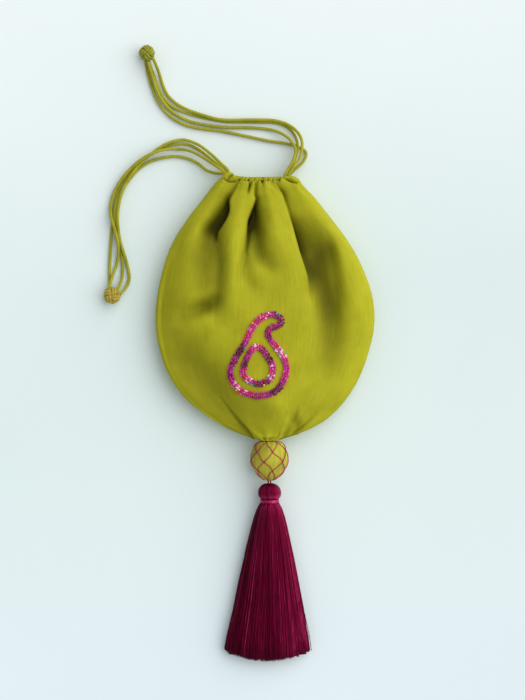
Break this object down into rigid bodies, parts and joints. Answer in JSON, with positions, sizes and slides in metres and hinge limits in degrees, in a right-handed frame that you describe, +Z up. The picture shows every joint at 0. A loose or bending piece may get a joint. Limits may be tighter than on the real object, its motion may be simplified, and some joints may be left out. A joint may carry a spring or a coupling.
{
  "type": "potli bag",
  "caption": "Small gathered drawstring bag lying flat, with ruched casings, bundled cords ending in woven ball knots, a beaded paisley, a netted bead and a long silk tassel.",
  "frame": {"origin": "on the surface that the bag lies on, at the flat patch of the back panel under the belly", "axes": "+Y along the bag towards the mouth, +Z up through the front panel, +X to the right when the front is seen"},
  "size_m": [0.2029, 0.4608, 0.033],
  "materials": {
    "bag_cloth": "olive yellow dupion silk with a soft sheen",
    "cord": "satin rat-tail cord",
    "gold_braid": "golden satin strands, woven",
    "green_braid": "olive satin strands, woven",
    "bead_wood": "raw turned wood",
    "bead_silk": "yellow silk, stretched smooth",
    "pink_thread": "twisted silk thread",
    "tassel_silk": "lustrous wine silk threads",
    "pink_binding": "shiny wound thread",
    "seed_beads": "small glossy glass beads sewn in rows"
  },
  "bodies": {
    "bag": {"front_panel": "bag_cloth", "back_panel": "bag_cloth", "front_casing": "bag_cloth", "back_casing": "bag_cloth", "cord_left_outer": "cord", "cord_left_inner": "cord", "cord_right_outer": "cord", "cord_right_inner": "cord", "ball_left": "gold_braid", "ball_right": "green_braid", "anchor_knot": "pink_thread", "hanging_loop": "pink_thread", "motif_outline": "seed_beads", "motif_heart": "seed_beads"},
    "bead": {"bead_core": "bead_wood", "bead_cover": "bead_silk", "bead_net": "pink_thread"},
    "tassel": {"tassel_threads": "tassel_silk", "tassel_binding": "pink_binding"}
  },
  "joints": [
    {"name": "bead_spin", "type": "hinge", "parent": "bag", "child": "bead", "pos_m": [0.0033, -0.1115, 0.0143], "axis": [0, 1, 0], "continuous": true},
    {"name": "tassel_swing", "type": "hinge", "parent": "bag", "child": "tassel", "pos_m": [0.0033, -0.1329, 0.0127], "axis": [0, 0, 1], "range_deg": [-30, 30]}
  ]
}
